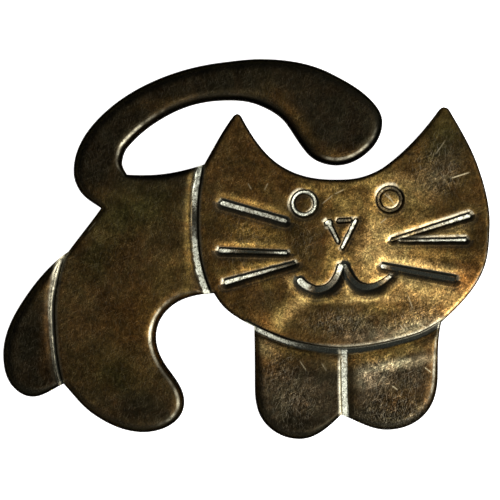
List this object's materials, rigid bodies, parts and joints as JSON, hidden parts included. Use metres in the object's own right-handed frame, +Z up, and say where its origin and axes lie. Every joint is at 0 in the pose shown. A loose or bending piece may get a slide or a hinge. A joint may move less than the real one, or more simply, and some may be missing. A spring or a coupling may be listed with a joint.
{
  "type": "cat brooch",
  "caption": "Walking cat brooch pressed from one sheet of tarnished silver, with chased face lines and a pin at its hollow back.",
  "frame": {"origin": "middle of the brooch's footprint, on the surface that it lies on", "axes": "+X from the far leg to the right cheek, +Y from the paws to the tail, +Z up out of the face; the brooch lies on its back at rest, tilted about 4.5 degrees about X"},
  "size_m": [0.052, 0.0406, 0.0053],
  "materials": {
    "tarnished_silver": "silver with a dark golden brown to near black tarnish, satin, brighter in the chased lines and along the turned-down edge",
    "pin_silver": "plain silver, lightly tarnished"
  },
  "bodies": {
    "root": {"cat_figure": "tarnished_silver", "pin_fitting": "pin_silver"}
  },
  "joints": []
}
